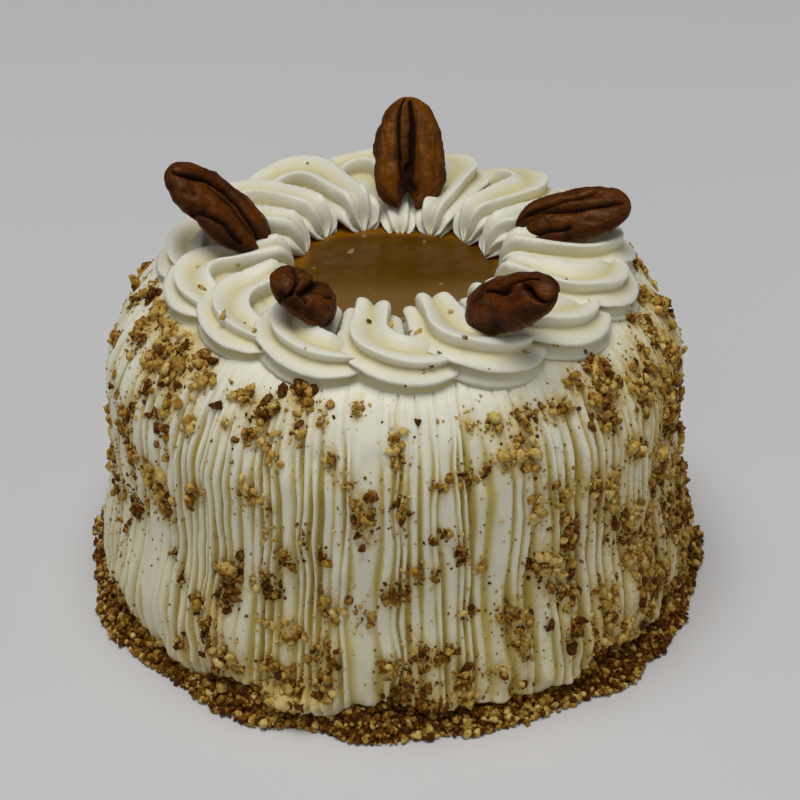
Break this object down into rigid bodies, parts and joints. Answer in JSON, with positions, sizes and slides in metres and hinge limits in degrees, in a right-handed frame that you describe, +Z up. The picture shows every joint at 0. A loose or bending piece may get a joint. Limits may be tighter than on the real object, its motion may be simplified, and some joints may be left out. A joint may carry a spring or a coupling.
{
  "type": "caramel pecan layer cake",
  "caption": "Tall round layer cake under combed cream with pressed-in chopped nuts, a ring of piped swirls, leaning pecan halves and a caramel pool on top",
  "frame": {"origin": "On the resting surface, under the middle of the cake's outline.", "axes": "+Z points up out of the cake's top and -Y points to the side that the picture shows."},
  "size_m": [0.1876, 0.189, 0.1334],
  "materials": {
    "cream": "matte",
    "caramel": "gloss",
    "pecan": "matte",
    "chopped_nut": "matte"
  },
  "bodies": {
    "root": {"cake": "cream", "caramel_pool": "caramel", "swirl_01": "cream", "swirl_02": "cream", "swirl_03": "cream", "swirl_04": "cream", "swirl_05": "cream", "swirl_06": "cream", "swirl_07": "cream", "swirl_08": "cream", "swirl_09": "cream", "swirl_10": "cream", "swirl_11": "cream", "swirl_12": "cream", "swirl_13": "cream", "swirl_14": "cream", "swirl_15": "cream", "pecan_back": "pecan", "pecan_left": "pecan", "pecan_front_left": "pecan", "pecan_front_right": "pecan", "pecan_right": "pecan"}
  },
  "joints": []
}
